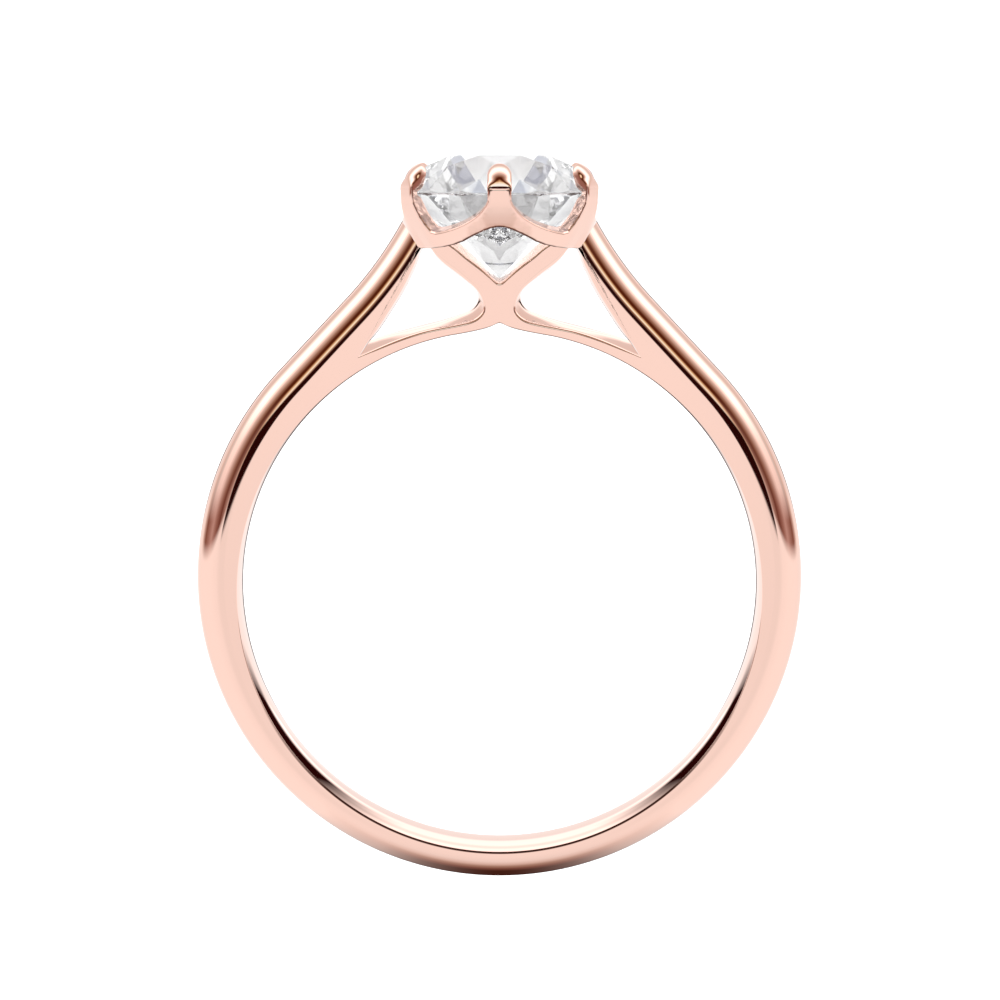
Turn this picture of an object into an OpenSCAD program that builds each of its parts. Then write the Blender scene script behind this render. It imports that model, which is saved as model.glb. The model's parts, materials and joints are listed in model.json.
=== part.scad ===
// Solitaire ring with a round brilliant stone held by six claws over two split shoulders.
// Millimetres. The ring lies on its side: the back claw and the foot of the shank touch the floor,
// the finger hole opens upward, and the head points along +Y.

/* [Finger hole] */
// Inside diameter of the ring
bore_d = 17.2; // [16.6:0.1:17.8]

/* [Shank] */
// Width of the band along the finger
band_w = 1.9; // [1.6:0.1:2.1]
// Radius of the outside of the shank
shank_r = 10; // [9.9:0.05:10.3]
// How far the centre of the outside lies toward the head, which thins the foot of the shank
shank_lift = 0.36; // [0.2:0.02:0.44]
// Angle above the middle at which the shoulder leaves the round shank
shoulder_angle = 43; // [41:1:45]
// Length of the straight part of the shoulder
shoulder_straight = 3.3; // [3:0.1:3.6]
// Radius of the upward sweep of the shoulder
sweep_r = 12.8; // [11:0.2:15]
// Angle that the shoulder turns through in its sweep
sweep_turn = 15; // [13:1:17]
// Height of the flat side under the rounded outside
side_h = 0.12; // [0.08:0.02:0.2]

/* [Bridge under the stone] */
// Height of the bridge rails at their edges
rail_h = 0.27; // [0.23:0.02:0.45]
// How much higher the rails are along their middle
rail_crown = 0.18; // [0.1:0.02:0.3]

/* [Stone] */
// Diameter of the stone at its girdle
stone_d = 6.5; // [6.4:0.05:6.5]
// Height of the girdle over the centre of the finger hole
girdle_z = 13.1; // [13.1:0.02:13.2]
// Thickness of the girdle at its thickest
girdle_t = 0.16; // [0.12:0.02:0.2]
// Height of the crown over the girdle
crown_h = 1.13; // [1.05:0.01:1.15]
// Depth of the pavilion under the girdle
pavilion_h = 2.75; // [2.6:0.05:2.75]
// Gap between the stone and the metal
stone_gap = 0.03; // [0.02:0.01:0.05]

/* [Claws] */
// Radius of the circle that the claws stand on, to their outer faces
claw_r = 3.5; // [3.46:0.01:3.6]
// Width of a claw
claw_w = 0.78; // [0.7:0.02:0.9]
// Thickness of the head's wall and claws
claw_t = 0.46; // [0.4:0.02:0.54]
// Height of the claw tips over the centre of the finger hole
claw_top = 14.06; // [14.0:0.01:14.1]

/* [Hidden] */
$fn = 96;
bore_r = bore_d / 2;
half_w = band_w / 2;
stone_r = stone_d / 2;
// Radius of the line that the rounded outside is centred on
dome_r = shank_r - half_w;

// Levels of the stone
girdle_top = girdle_z + girdle_t / 2;
girdle_low = girdle_z - girdle_t / 2;
table_z = girdle_top + crown_h;
culet_z = girdle_low - pavilion_h;
// Table corners, star facet tips and the foot of the lower half facets, as shares of the radius
table_r = stone_r * 0.5335;
star_r = stone_r * 0.738;
lower_r = stone_r * 0.23;
half_facet = 22.5;
quarter_facet = 11.25;
// Slopes of the facets, as rise over run
kite_slope = crown_h / (stone_r - table_r);
star_z = table_z - kite_slope * (star_r * cos(half_facet) - table_r);
star_slope = (table_z - star_z) / (star_r - table_r * cos(half_facet));
upper_slope = (star_z - girdle_top) / (stone_r - star_r) / cos(quarter_facet);
main_slope = pavilion_h / stone_r;
lower_z = girdle_low - main_slope * (stone_r - lower_r * cos(half_facet));
lower_slope = (girdle_low - lower_z) / (stone_r - lower_r) / cos(quarter_facet);

// The ring rests on the back claw and on the foot of the shank
claw_foot = girdle_z - 0.1;
foot_y = dome_r - shank_lift;
rest_span = claw_foot + foot_y;
rest_tilt = atan2(claw_r, rest_span) - asin(half_w / norm([claw_r, rest_span]));
rest_lift = foot_y * sin(rest_tilt) + half_w;
// Reach of the tilted ring along the floor, used to centre it
reach_head = table_z * cos(rest_tilt) + table_r * cos(half_facet) * sin(rest_tilt);
reach_foot = foot_y * cos(rest_tilt) + half_w;
rest_shift = (reach_foot - reach_head) / 2;

// Shoulder: end of the round shank, end of the straight part and centre of the sweep
turn_from = [cos(shoulder_angle), sin(shoulder_angle)];
turn_along = [-sin(shoulder_angle), cos(shoulder_angle)];
arc_end = [0, shank_lift] + shank_r * turn_from;
line_end = arc_end + shoulder_straight * turn_along;
sweep_centre = line_end + sweep_r * turn_from;

sweep_steps = 8;
round_steps = 20;
// How much lower the rounded outside gets on its way up the sweep
dome_loss = 0.08;
// How far the shoulder's surface stays inside the end of the round shank, and how deep it starts
inset = 0.004;
buried = 0.6;

// Inner edge of a shoulder leg, from the bridge up to the head
leg_edge = [
    [4.62, 7.10], [4.46, 7.72], [4.30, 8.05], [4.02, 8.58], [3.75, 8.95], [3.49, 9.28], [3.30, 9.60],
    [3.12, 9.92], [2.97, 10.24], [2.83, 10.57], [2.70, 10.86]
];
// Outer edge of the neck and strut, from the bridge rail up to the head
strut_outer = [
    [2.30, 8.60], [1.95, 8.86], [1.50, 8.95], [1.16, 9.06], [0.95, 9.20], [0.82, 9.38], [0.78, 9.58],
    [0.79, 9.78], [0.87, 9.99], [1.05, 10.20], [1.28, 10.38], [1.56, 10.57], [1.82, 10.74],
    [2.05, 10.90], [2.26, 11.07], [2.42, 11.23], [2.58, 11.45]
];
// Upper edge of the strut, from the head down to the bottom of the V under the stone
strut_inner = [
    [2.00, 11.62], [1.80, 11.49], [1.52, 11.29], [1.06, 10.98], [0.64, 10.62], [0.31, 10.31],
    [0.14, 10.16], [0, 10.10]
];
// Upper and lower edges of half an arch, seen from the front
arch_upper = [
    [0.39, 13.10], [0.39, 12.88], [0.45, 12.72], [0.55, 12.58], [0.66, 12.46], [0.80, 12.34],
    [0.96, 12.23], [1.14, 12.13], [1.32, 12.04], [1.50, 11.97], [1.88, 11.85], [2.15, 11.80],
    [2.70, 11.86]
];
arch_lower = [
    [2.50, 11.00], [2.20, 11.18], [1.80, 11.28], [1.44, 11.41], [1.14, 11.54], [0.88, 11.69],
    [0.70, 11.78], [0.51, 11.87], [0.27, 11.96], [0, 12.01]
];
// Outside of the head: radius at each height from its foot up to the straight part of the claws
foot_z = 10.95;
cup_z = 12.75;
cup_steps = 6;
function cup_radius(z) = 3.47 - 0.40 * (cup_z - z) - 0.12 * (cup_z - z) * (cup_z - z);
function cup_height(i) = foot_z + i / cup_steps * (cup_z - foot_z);
cup_outside = [for (i = [0 : cup_steps]) [cup_radius(cup_height(i)), cup_height(i)]];
cup_inside = [for (i = [cup_steps : -1 : 0]) [cup_radius(cup_height(i)) - claw_t, cup_height(i)]];
// Claw tip, from its straight outer face over the top to the crown of the stone
tip_outside = [
    [claw_r, claw_foot], [claw_r - 0.01, girdle_z + 0.45], [claw_r - 0.06, girdle_z + 0.62],
    [claw_r - 0.16, girdle_z + 0.78], [claw_r - 0.28, girdle_z + 0.89], [claw_r - 0.42, claw_top - 0.01],
    [claw_r - 0.50, claw_top - 0.01], [claw_r - 0.58, claw_top - 0.07], [claw_r - 0.62, claw_top - 0.18]
];
tip_inside = [[claw_r - 0.57, girdle_z + 0.5], [claw_r - claw_t, claw_foot]];
head_profile = concat(cup_outside, tip_outside, tip_inside, cup_inside);
// Radius of the round top of a claw, seen from outside
tip_round = claw_w / 2;
tip_centre = claw_top - tip_round - 0.02;

// A side claw spreads a little toward its foot: half width at each height
claw_spread = [[0.75, foot_z], [0.62, 11.9], [0.46, 12.3], [0.39, 12.75]];
// Level from which the front and back claws stand on their arches
arch_claw_foot = 12.8;
// Side walls between two claws, seen from the side: half width and height of their corners
wall_corners = [
    [half_w + 0.08, 11.05], [1.5, 11.4], [1.62, 12.72], [1.30, 12.42], [0.85, 12.24], [0.30, 12.17]
];
// The shoulders stop inside the wall of the head, between these levels
room_low = 11.6;
room_high = 12.2;
// Hollow under the stone, a little below its pavilion
room_floor = culet_z - 0.14;
room_floor_r = 1.55;
// Depth of the band inside the centre line of its rounded outside
band_depth = 1.2;
// Half of the angle that the bridge rails span
bridge_span = 59;
// Reach of cutters beyond the metal
reach = 6;

// Stands a shape turned about Z on the axis through the stone, which points along +Y
module on_head_axis() {
    rotate([-90, 0, 0]) children();
}

// Eight flat facets round an axis, between two heights, with given distances from the axis
module facet_ring(z_low, z_high, run_low, run_high, turn) {
    side = cos(half_facet);
    rotate([0, 0, turn])
        translate([0, 0, z_low])
            cylinder(h = z_high - z_low, r1 = run_low / side, r2 = run_high / side, $fn = 8);
}

// Facets that lean inward above the girdle: run is the distance at a given height
module crown_facets(slope, run, z, turn) {
    top = table_z + 0.2;
    facet_ring(culet_z - 1, top, run + (z - culet_z + 1) / slope, run - (top - z) / slope, turn);
}

// Facets that lean inward below the girdle
module pavilion_facets(slope, run, z, turn) {
    low = z - run * slope + 0.0001;
    facet_ring(low, table_z + 1, 0.0001, run + (table_z + 1 - z) / slope, turn);
}

module brilliant() {
    half_run = stone_r * cos(quarter_facet);
    intersection() {
        translate([0, 0, culet_z - 1]) cylinder(h = table_z - culet_z + 1, r = stone_r);
        crown_facets(kite_slope, stone_r, girdle_top, 0);
        crown_facets(star_slope, table_r * cos(half_facet), table_z, half_facet);
        crown_facets(upper_slope, half_run, girdle_top, quarter_facet);
        crown_facets(upper_slope, half_run, girdle_top, -quarter_facet);
        pavilion_facets(main_slope, stone_r, girdle_low, 0);
        pavilion_facets(lower_slope, half_run, girdle_low, quarter_facet);
        pavilion_facets(lower_slope, half_run, girdle_low, -quarter_facet);
    }
}

// Room that the stone and its gap take in the metal
module stone_room() {
    g = stone_gap;
    on_head_axis()
        rotate_extrude()
            polygon([
                [0, culet_z - g * 1.5],
                [lower_r, lower_z - g * 1.5],
                [stone_r + g, girdle_low - g],
                [stone_r + g, girdle_top + g],
                [star_r, star_z + g * 1.5],
                [table_r, table_z + g * 1.5],
                [0, table_z + g * 1.5]
            ]);
}

// Section of the band: rounded outside and flat sides that reach inward
module band_section(inward) {
    union() {
        intersection() {
            circle(r = half_w);
            translate([0, -half_w]) square([half_w, band_w]);
        }
        translate([-inward, -half_w]) square([inward + 0.001, band_w]);
    }
}

// Round part of the shank, up to where the shoulders leave it
module hoop() {
    translate([0, shank_lift, 0])
        rotate([0, 0, -180 - shoulder_angle])
            rotate_extrude(angle = 180 + 2 * shoulder_angle)
                translate([dome_r, 0]) band_section(band_depth);
}

// Place on the outer line of a shoulder: station 0 lies inside the end of the round shank, 1 just
// past that end, 2 at the end of the straight part, and the rest are along the sweep
function shoulder_share(i) = max(0, i - 2) / sweep_steps;
function shoulder_turned(i) = shoulder_angle - shoulder_share(i) * sweep_turn;
function shoulder_point(i) =
    i == 0 ? arc_end - buried * turn_along - 0.5 * buried * turn_from :
    i == 1 ? arc_end + 0.05 * buried * turn_along - inset * turn_from :
    sweep_centre - sweep_r * [cos(shoulder_turned(i)), sin(shoulder_turned(i))];

// Section of a shoulder at a station: a rounded outside over two flat sides
function shoulder_section(i) =
    let (
        wide = i == 0 ? 0.7 * half_w : half_w - inset,
        high = wide - dome_loss * shoulder_share(i),
        deep = high + side_h,
        out = [cos(shoulder_turned(i)), sin(shoulder_turned(i))],
        p = shoulder_point(i)
    )
    concat(
        [[p[0] - deep * out[0], p[1] - deep * out[1], wide]],
        [for (k = [0 : round_steps])
            let (t = 90 - 180 * k / round_steps, n = high * (1 - cos(t)))
                [p[0] - n * out[0], p[1] - n * out[1], wide * sin(t)]],
        [[p[0] - deep * out[0], p[1] - deep * out[1], -wide]]
    );

module shoulder() {
    last = sweep_steps + 2;
    ring = round_steps + 3;
    points = [for (i = [0 : last]) each shoulder_section(i)];
    sides = [for (i = [0 : last - 1]) for (j = [0 : ring - 1])
        let (k = (j + 1) % ring)
            [i * ring + j, (i + 1) * ring + j, (i + 1) * ring + k, i * ring + k]];
    ends = [[for (j = [0 : ring - 1]) j], [for (j = [ring - 1 : -1 : 0]) last * ring + j]];
    polyhedron(points, concat(sides, ends));
}

module shank() {
    hoop();
    for (side = [0, 1])
        mirror([side, 0, 0]) shoulder();
}

// Flat webs that join the shoulders to the bridge, drawn on the side of the ring
module leg_outline() {
    steps = 6;
    flat = half_w + side_h / 2;
    line_points = [
        [0, shank_lift] + (shank_r - flat) * turn_from,
        line_end - flat * turn_from
    ];
    sweep_points = [
        for (i = [1 : steps])
            let (a = shoulder_angle - i / steps * 0.6 * sweep_turn)
                sweep_centre - (sweep_r + flat) * [cos(a), sin(a)]
    ];
    polygon(concat(
        [[6.2, 5.6]], line_points, sweep_points,
        [for (i = [len(leg_edge) - 1 : -1 : 0]) leg_edge[i]]
    ));
}

module strut_outline() {
    polygon(concat(strut_outer, strut_inner, [[0, 8.4]]));
}

module flat_work() {
    linear_extrude(band_w, center = true)
        for (side = [0, 1])
            mirror([side, 0]) {
                leg_outline();
                strut_outline();
            }
}

// Bridge rails over the finger hole, with a low crown along their middle
module bridge() {
    crown_r = (half_w * half_w + rail_crown * rail_crown) / (2 * rail_crown);
    rotate([0, 0, 90 - bridge_span])
        rotate_extrude(angle = 2 * bridge_span)
            intersection() {
                translate([bore_r + rail_h + rail_crown - crown_r, 0]) circle(r = crown_r);
                translate([bore_r - 0.3, -half_w]) square([2, band_w]);
            }
}

// Space inside the head that the shoulders stop at, to the middle of the head's wall
module head_room() {
    mid_t = claw_t / 2;
    on_head_axis()
        rotate_extrude()
            polygon([
                [0, room_floor],
                [room_floor_r, room_floor + room_floor_r * main_slope],
                [cup_radius(room_low) - mid_t, room_low],
                [cup_radius(room_high) - mid_t, room_high],
                [claw_r - mid_t, claw_foot],
                [claw_r - mid_t, claw_foot + 2],
                [0, claw_foot + 2]
            ]);
}

// Front view of an arch with the claw that stands on it
module arch_outline() {
    for (side = [0, 1])
        mirror([side, 0])
            polygon(concat([[0, arch_upper[0][1]]], arch_upper, arch_lower));
    claw_outline(arch_claw_foot);
}

module claw_outline(foot) {
    translate([-tip_round, foot]) square([claw_w, tip_centre - foot]);
    translate([0, tip_centre]) circle(r = tip_round);
}

function flipped(p) = [-p[0], p[1]];

// Claw with feet that spread a little where it meets the wall below
module side_claw_outline() {
    claw_outline(foot_z);
    polygon(concat(claw_spread, [for (i = [len(claw_spread) - 1 : -1 : 0]) flipped(claw_spread[i])]));
}

module wall_outline() {
    last = len(wall_corners) - 1;
    polygon(concat(wall_corners, [for (i = [last : -1 : 0]) flipped(wall_corners[i])]));
}

// Claws, arches and side walls, all cut from one turned cup
module head() {
    intersection() {
        on_head_axis()
            rotate_extrude() polygon(head_profile);
        union() {
            linear_extrude(2 * reach, center = true) arch_outline();
            for (turn = [-60, 60])
                rotate([0, turn, 0])
                    linear_extrude(2 * reach, center = true) side_claw_outline();
            rotate([0, 90, 0])
                linear_extrude(2 * reach, center = true) wall_outline();
        }
    }
}

module ring_pose() {
    translate([0, rest_shift, rest_lift]) rotate([rest_tilt, 0, 0]) children();
}

// All the soldered metal, as one solid
module mounting() {
    color([0.93, 0.72, 0.63])
        ring_pose()
            difference() {
                union() {
                    difference() {
                        union() {
                            shank();
                            flat_work();
                            bridge();
                        }
                        head_room();
                    }
                    head();
                }
                cylinder(h = 3 * reach, r = bore_r, center = true);
                stone_room();
            }
}

module diamond() {
    color([0.88, 0.92, 0.96])
        ring_pose()
            on_head_axis() brilliant();
}

mounting();
diamond();
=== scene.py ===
# %% [markdown]
# # A solitaire ring in rose gold
# The ring is one soldered piece of metal and one cut stone. The imported model is loaded first. It is
# the frame that every new piece is fitted to.

# %% Load the frame
import json
import math
import bpy
import bmesh
from mathutils import Matrix, Vector


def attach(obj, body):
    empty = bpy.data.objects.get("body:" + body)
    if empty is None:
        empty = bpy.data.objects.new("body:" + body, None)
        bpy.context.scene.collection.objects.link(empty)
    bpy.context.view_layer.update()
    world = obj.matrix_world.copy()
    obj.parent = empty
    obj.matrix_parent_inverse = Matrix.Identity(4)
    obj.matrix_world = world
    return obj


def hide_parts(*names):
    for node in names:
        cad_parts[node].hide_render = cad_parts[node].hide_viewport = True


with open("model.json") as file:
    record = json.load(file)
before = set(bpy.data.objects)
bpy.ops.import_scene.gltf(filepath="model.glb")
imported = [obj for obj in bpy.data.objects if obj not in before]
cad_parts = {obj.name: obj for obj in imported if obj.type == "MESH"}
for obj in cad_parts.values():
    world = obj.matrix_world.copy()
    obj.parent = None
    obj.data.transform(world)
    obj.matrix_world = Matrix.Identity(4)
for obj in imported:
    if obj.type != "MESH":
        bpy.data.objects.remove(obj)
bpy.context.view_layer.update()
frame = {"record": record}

# %% [markdown]
# The ring lies on its side, on the back claw and the foot of the band. It is easier to model flat:
# x runs across the ring, y from the finger hole to the stone, and z toward the front face, in
# millimetres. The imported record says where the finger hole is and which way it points, so a finished
# piece is turned and moved into that place, made a thousand times smaller, and its place is applied.

# %% Values of the ring, and the way from the bench to its resting place
MM = 0.001
hole = frame["record"]["mounts"][0]
hole_axis = Vector(hole["axis"]).normalized()
rest_turn = Vector((0, 0, 1)).rotation_difference(hole_axis).to_matrix().to_4x4()
to_rest = Matrix.Translation(Vector(hole["pos_m"])) @ rest_turn @ Matrix.Scale(MM, 4)

half_w = 0.95          # half the width of the band
bore_r = 8.6           # radius of the finger hole
shank_r = 10.0         # radius of the outside of the band
lift = 0.36            # how far its centre lies toward the stone
crown_of_band = 1.0    # height of the rounded outside over its flat sides
line_r = shank_r - crown_of_band
shoulder_at = math.radians(43)   # where the round of the band ends, over the middle
straight = 3.3                   # length of the straight stretch that follows
sweep_r = 12.8                   # radius of the last stretch, which bends up to the head
sweep_turn = math.radians(15)    # how far that stretch turns
print("tilt at rest, degrees:", round(math.degrees(hole_axis.angle(Vector((0, 0, 1)))), 2))

# %% [markdown]
# A few small helpers stand for what a hand does at the bench: clear the selection, start a piece from
# one vertex, draw a line by pulling that vertex along, and pick vertices or edges by their place.

# %% Helpers for drawing and picking
def nothing_selected():
    """Leaves the mesh and clears the selection."""
    if bpy.context.mode != "OBJECT":
        bpy.ops.object.mode_set(mode="OBJECT")
    bpy.ops.object.select_all(action="DESELECT")


def work_on(piece, kind="VERT"):
    """Opens a piece for work on its vertices, edges or faces, with none of them selected."""
    nothing_selected()
    piece.select_set(True)
    bpy.context.view_layer.objects.active = piece
    bpy.ops.object.mode_set(mode="EDIT")
    bpy.context.tool_settings.mesh_select_mode = (kind == "VERT", kind == "EDGE", kind == "FACE")
    bpy.ops.mesh.select_all(action="DESELECT")


def start_piece(name, first):
    """A new piece that holds one selected vertex."""
    nothing_selected()
    bpy.ops.mesh.primitive_plane_add(size=0.1, location=(0, 0, 0))
    piece = bpy.context.object
    piece.name = name
    piece.data.name = name
    work_on(piece)
    bpy.ops.mesh.select_all(action="SELECT")
    bpy.ops.mesh.merge(type="CENTER")
    bpy.ops.transform.translate(value=first)
    return piece


def pull_along(points):
    """Pulls the selected vertex from the first point through the others."""
    for a, b in zip(points, points[1:]):
        step = Vector(b) - Vector(a)
        bpy.ops.mesh.extrude_vertices_move(TRANSFORM_OT_translate={"value": step})


def pick(kind, test, add=False):
    """Selects the vertices, edges or faces that pass a test on their place. Returns how many."""
    mesh = bpy.context.edit_object.data
    work = bmesh.from_edit_mesh(mesh)
    if not add:
        for group in (work.faces, work.edges, work.verts):
            for part in group:
                part.select = False
    found = 0
    for part in {"VERT": work.verts, "EDGE": work.edges, "FACE": work.faces}[kind]:
        if test(part):
            part.select_set(True)
            found += 1
    bmesh.update_edit_mesh(mesh)
    return found


def smooth_line(points, per):
    """A finer line through coarse points, on a Catmull-Rom curve, with that many steps for each."""
    pts = [Vector(p) for p in points]
    pts = [2 * pts[0] - pts[1]] + pts + [2 * pts[-1] - pts[-2]]
    fine = [pts[1]]
    for i in range(1, len(pts) - 2):
        p0, p1, p2, p3 = pts[i - 1:i + 3]
        for k in range(1, per + 1):
            t = k / per
            fine.append(0.5 * (2 * p1 + (p2 - p0) * t + (2 * p0 - 5 * p1 + 4 * p2 - p3) * t * t
                               + (3 * p1 - p0 - 3 * p2 + p3) * t ** 3))
    return fine


# %% [markdown]
# The band is symmetric left to right and front to back, so only a quarter of it is made: the right
# half of the front side. The rounded outside is half of an ellipse. Its front quarter is drawn at the
# foot of the band and spun round to the shoulder, pulled straight, and spun the other way up to the
# head. That gives even rows of faces along the band, which a polished surface needs.

# %% Rounded outside of the band
round_rows = 20
foot = Vector((0, lift - line_r, 0))
quarter_arc = [
    Vector((0, foot.y - crown_of_band * math.cos(t), half_w * math.sin(t)))
    for t in [math.pi / 2 * k / round_rows for k in range(round_rows + 1)]
]
band = start_piece("band", quarter_arc[0])
pull_along(quarter_arc)
bpy.ops.mesh.select_all(action="SELECT")
spin_steps = 120
bpy.ops.mesh.spin(steps=spin_steps, angle=-(math.pi / 2 + shoulder_at), center=(0, lift, 0), axis=(0, 0, 1))
turn_from = Vector((math.cos(shoulder_at), math.sin(shoulder_at), 0))
turn_along = Vector((-math.sin(shoulder_at), math.cos(shoulder_at), 0))
straight_steps = 6
for _ in range(straight_steps):
    bpy.ops.mesh.extrude_edges_move(TRANSFORM_OT_translate={"value": turn_along * straight / straight_steps})
arc_end = Vector((0, lift, 0)) + shank_r * turn_from
sweep_centre = arc_end + straight * turn_along + sweep_r * turn_from
sweep_steps = 18
bpy.ops.mesh.spin(steps=sweep_steps, angle=sweep_turn, center=sweep_centre, axis=(0, 0, 1))
bpy.ops.object.mode_set(mode="OBJECT")
print("rounded outside:", len(band.data.vertices), "vertices, reaches",
      [round(max(v.co[i] for v in band.data.vertices), 3) for i in range(3)],
      [round(min(v.co[i] for v in band.data.vertices), 3) for i in range(3)])

# %% [markdown]
# The flat side of the band, its shoulders and the bridge under the stone all lie in one plane, so they
# are one face. Its outline runs from the end of the rounded outside over the inner edge of the
# shoulder, along the bridge rail, up the neck and strut, down the V under the stone, and back round
# the finger hole. The walls behind these edges are rounded, as polishing leaves them, so in the middle
# of the band they stand proud: by 0.15 mm on the legs, by 0.2 to 0.4 mm on the rails and struts, and by
# 0.6 mm at the end of the split. Each edge is therefore written down with the middle line that belongs
# to it: x and y in front, then x and y in the middle.

# %% Edges of the openings, in front and in the middle of the band
leg_edge = [
    (2.50, 11.62, 2.42, 11.50), (2.60, 11.32, 2.52, 11.26), (2.72, 11.16, 2.606, 11.089),
    (2.833, 10.832, 2.706, 10.757), (2.997, 10.505, 2.855, 10.425), (3.155, 10.177, 3.010, 10.093),
    (3.335, 9.850, 3.192, 9.761), (3.528, 9.522, 3.395, 9.429), (3.733, 9.195, 3.605, 9.097),
    (3.94, 8.867, 3.82, 8.765), (4.16, 8.53, 4.02, 8.48), (4.40, 8.12, 4.17, 8.31),
    (4.62, 7.70, 4.26, 8.22),
]
rail_edge = [
    (4.62, 7.70, 4.26, 8.22), (4.30, 7.828, 4.08, 8.28), (3.92, 7.975, 3.86, 8.36),
    (3.422, 8.175, 3.42, 8.49), (2.931, 8.35, 2.96, 8.61), (2.44, 8.495, 2.46, 8.74),
    (1.95, 8.60, 1.96, 8.865), (1.55, 8.675, 1.56, 8.985), (1.274, 8.731, 1.29, 9.078),
    (1.002, 8.795, 1.07, 9.16), (0.75, 8.90, 0.905, 9.255), (0.57, 9.045, 0.79, 9.375),
    (0.475, 9.20, 0.725, 9.51), (0.455, 9.35, 0.705, 9.64), (0.475, 9.50, 0.715, 9.745),
    (0.52, 9.67, 0.76, 9.84), (0.61, 9.86, 0.85, 9.95), (0.80, 10.10, 1.02, 10.11),
    (1.29, 10.545, 1.42, 10.41), (1.70, 10.85, 1.82, 10.71), (1.99, 11.09, 2.06, 10.96),
    (2.16, 11.28, 2.20, 11.16), (2.27, 11.45, 2.32, 11.34),
]
vee_edge = [
    (2.02, 11.60, 1.86, 11.82), (1.75, 11.42, 1.53, 11.66), (1.457, 11.22, 1.22, 11.43),
    (1.13, 10.94, 0.93, 11.11), (0.64, 10.565, 0.53, 10.72), (0.31, 10.285, 0.25, 10.435),
    (0.17, 10.155, 0.13, 10.335), (0.08, 10.09, 0.06, 10.29), (0.0, 10.07, 0.0, 10.28),
]
peak_edge = [
    (0.0, 8.86), (0.10, 8.83), (0.28, 8.745), (0.50, 8.672), (0.80, 8.600), (1.20, 8.520),
    (1.60, math.sqrt(bore_r ** 2 - 1.6 ** 2)),
]


def both_lines(edge, per):
    """The front line and the middle line of an edge, with the same number of points."""
    front = smooth_line([(a, b, half_w) for a, b, c, d in edge], per)
    middle = smooth_line([(c, d, 0) for a, b, c, d in edge], per)
    return front, middle


edge_steps = 4         # steps between two points of an edge
leg_front, leg_middle = both_lines(leg_edge, edge_steps)
rail_front, rail_middle = both_lines(rail_edge, edge_steps)
vee_front, vee_middle = both_lines(vee_edge, edge_steps)
bore_front = smooth_line([(a, b, half_w) for a, b in peak_edge], edge_steps)
start_turn = math.atan2(bore_front[-1].y, bore_front[-1].x)
bore_steps = 140
for k in range(1, bore_steps + 1):
    a = start_turn + (-math.pi / 2 - start_turn) * k / bore_steps
    bore_front.append(Vector((bore_r * math.cos(a), bore_r * math.sin(a), half_w)))
bore_front[-1].x = 0
print("edge points:", len(leg_front), len(rail_front), len(vee_front), len(bore_front))

# %% [markdown]
# A jeweller saws such a side out of a plate. Here its outline is drawn with one vertex that is pulled
# from point to point, starting at the top of the shoulder, and the rounded outside already gives the
# last stretch. Filling the loop makes one large flat face, with no lines in its polish.

# %% Flat side of the band
work_on(band)
leg_top = max((v.co.copy() for v in band.data.vertices if abs(v.co.z - half_w) < 1e-5), key=lambda c: c.y)
pick("VERT", lambda v: (v.co - leg_top).length < 1e-5)
outline = [leg_top] + leg_front + rail_front[1:] + vee_front + bore_front
pull_along(outline + [Vector((0, lift - line_r, half_w))])
bpy.ops.mesh.select_all(action="SELECT")
bpy.ops.mesh.remove_doubles(threshold=0.0005)
pick("EDGE", lambda e: all(abs(v.co.z - half_w) < 1e-5 for v in e.verts))
bpy.ops.mesh.edge_face_add()
bpy.ops.object.mode_set(mode="OBJECT")
side = max(band.data.polygons, key=lambda p: len(p.vertices))
print("flat side:", len(side.vertices), "corners,", round(side.area, 2), "mm2")

# %% [markdown]
# The walls are pulled back row by row from the front edge to the middle of the band. The first rows
# go round a small fillet, as a polishing wheel leaves on an edge, and the rest rise to the middle,
# less and less steeply.

# %% Walls of the openings
fillet = 0.12                             # radius of the fillet
fillet_turns = (12, 24, 38, 52, 66, 78)   # degrees that the rows have gone round it
belly_rows = 5


def pull_row(old, new):
    """Pulls the selected row of edges out once, and sets each new vertex on its own place."""
    bpy.ops.mesh.extrude_edges_move(TRANSFORM_OT_translate={"value": (0, 0, 0)})
    mesh = bpy.context.edit_object.data
    work = bmesh.from_edit_mesh(mesh)
    for v in [v for v in work.verts if v.select]:
        i = min(range(len(old)), key=lambda k: (v.co - old[k]).length_squared)
        v.co = new[i]
    bmesh.update_edit_mesh(mesh)


def pull_wall(piece, front, middle):
    """Pulls the edges of a line on the front face round a fillet and back to the middle."""
    work_on(piece, "EDGE")
    near = [f.copy() for f in front]
    steps = {(round(a.x, 4), round(a.y, 4)) for a in near}
    pick("EDGE", lambda e: all(abs(v.co.z - half_w) < 1e-5 and (round(v.co.x, 4), round(v.co.y, 4)) in steps
                               for v in e.verts) and len(e.link_faces) == 1)
    rows = []
    for degrees in fillet_turns:
        turn = math.radians(degrees)
        rows.append((math.sin(turn), 0.0, fillet * (1 - math.cos(turn))))
    reached, deep = rows[-1][0], rows[-1][2]
    for k in range(1, belly_rows + 1):
        share = k / belly_rows
        rows.append((reached, 1 - (1 - share) ** 2, deep + (half_w - deep) * share))
    for round_share, belly_share, depth in rows:
        following = []
        for f, m in zip(front, middle):
            way = Vector((m.x - f.x, m.y - f.y, 0))
            first = min(fillet, 0.6 * way.length)
            out = first * round_share + (way.length - first * reached) * belly_share
            following.append(Vector((f.x, f.y, half_w - depth)) + way.normalized() * out)
        pull_row(near, following)
        near = following


pull_wall(band, leg_front, leg_middle)
pull_wall(band, rail_front, rail_middle)
pull_wall(band, vee_front, vee_middle)
bpy.ops.object.mode_set(mode="OBJECT")
print("walls of the openings:", len(band.data.vertices), "vertices so far")

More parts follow.
